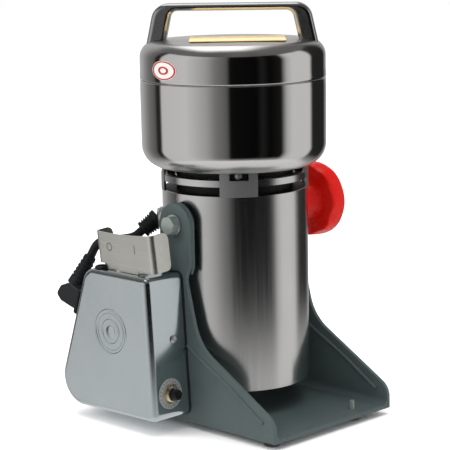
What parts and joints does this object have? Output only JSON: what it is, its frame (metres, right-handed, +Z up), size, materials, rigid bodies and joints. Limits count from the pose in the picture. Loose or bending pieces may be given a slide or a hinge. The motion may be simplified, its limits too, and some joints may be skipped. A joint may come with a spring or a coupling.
{
  "type": "hammer mill",
  "caption": "Tilting high-speed grain and herb mill: round steel bowl with lid and handle on a motor tube, pivoted in a bent sheet stand with a clamp knob and a side switch box.",
  "frame": {"origin": "centre of the assembly's footprint, on the surface that the feet stand on; the motor's axis is 3.4 mm to its right", "axes": "+Z up along the motor's axis, -Y to the machine's front, where the bowl tips, +X to its right, where the clamp knob is"},
  "size_m": [0.2038, 0.2068, 0.3245],
  "materials": {
    "grey_paint": "satin",
    "rubber": "matte",
    "zinc": "zinc plated, satin",
    "brushed_stainless": "brushed",
    "polished_stainless": "mirror polished",
    "chrome": "polished",
    "satin_stainless": "satin",
    "red_plastic": "gloss",
    "black_plastic": "satin",
    "black_metal": "satin",
    "brass": "nickelled",
    "copper": "bare copper",
    "lamination_steel": "bare",
    "gold_foil": "metallic foil",
    "silicone": "matte"
  },
  "bodies": {
    "stand": {"base_plate": "grey_paint", "left_side_plate": "grey_paint", "right_side_plate": "grey_paint", "foot_front_left": "rubber", "foot_front_right": "rubber", "foot_rear_left": "rubber", "foot_rear_right": "rubber", "foot_screw_front_left": "zinc", "foot_screw_front_right": "zinc", "foot_screw_rear_left": "zinc", "foot_screw_rear_right": "zinc", "switch_box_gasket": "rubber", "switch_box_cover": "chrome", "cover_screw": "zinc", "reset_breaker": "brass", "toggle_guard": "satin_stainless", "toggle_switch": "black_plastic", "mains_grommet": "rubber", "lead_socket": "black_plastic", "lead_connector": "rubber", "connector_boot": "rubber", "motor_lead": "rubber"},
    "grinder": {"motor_tube": "brushed_stainless", "motor_bottom_cover": "black_plastic", "lower_end_bracket": "black_metal", "lower_bearing": "zinc", "upper_end_bracket": "black_metal", "upper_bearing": "zinc", "bowl_clamp_ring": "satin_stainless", "stator_core": "lamination_steel", "field_winding_lower": "copper", "field_winding_upper": "copper", "brush_holder_left": "brass", "brush_holder_right": "brass", "grinding_bowl": "polished_stainless", "shaft_seal": "silicone", "motor_lead_boot": "rubber", "motor_lead_gland": "satin_stainless", "pivot_boss_left": "zinc", "pivot_boss_right": "zinc", "pivot_bolt": "zinc", "pivot_nut": "zinc", "pivot_washer": "zinc", "clamp_stud": "zinc", "clamp_washer": "zinc"},
    "rotor": {"motor_shaft": "zinc", "armature_core": "lamination_steel", "commutator": "copper", "cooling_fan": "black_plastic", "lower_blade": "satin_stainless", "blade_spacer": "zinc", "upper_blade": "satin_stainless", "blade_nut": "zinc"},
    "lid_seal_ring": {"lid_seal": "silicone"},
    "lid": {"lid_shell": "polished_stainless", "handle": "chrome", "lid_label": "gold_foil"},
    "knob": {"clamp_knob": "red_plastic"},
    "toggle": {"toggle_lever": "chrome"},
    "button": {"reset_button": "black_plastic"}
  },
  "joints": [
    {"name": "body_tilt", "type": "hinge", "parent": "stand", "child": "grinder", "pos_m": [0.0034, 0, 0.159], "axis": [1, 0, 0], "range_deg": [0, 110], "deforming": ["motor_lead"]},
    {"name": "rotor_spin", "type": "hinge", "parent": "grinder", "child": "rotor", "pos_m": [0.0034, 0, 0.1], "axis": [0, 0, 1], "continuous": true},
    {"name": "lid_lift", "type": "slide", "parent": "grinder", "child": "lid_seal_ring", "axis": [0, 0, 1], "range_m": [0, 0.08]},
    {"name": "lid_turn", "type": "hinge", "parent": "lid_seal_ring", "child": "lid", "pos_m": [0.0034, 0, 0.28], "axis": [0, 0, 1], "range_deg": [0, 60]},
    {"name": "knob_turn", "type": "hinge", "parent": "grinder", "child": "knob", "pos_m": [0.0938, 0, 0.159], "axis": [1, 0, 0], "range_deg": [0, 360]},
    {"name": "toggle_throw", "type": "hinge", "parent": "stand", "child": "toggle", "pos_m": [-0.0826, 0.022, 0.1245], "axis": [1, 0, 0], "range_deg": [0, 30]},
    {"name": "reset_press", "type": "slide", "parent": "stand", "child": "button", "axis": [0, 0.9981, 0.0611], "range_m": [0, 0.003], "stiffness_N_per_m": 500}
  ]
}
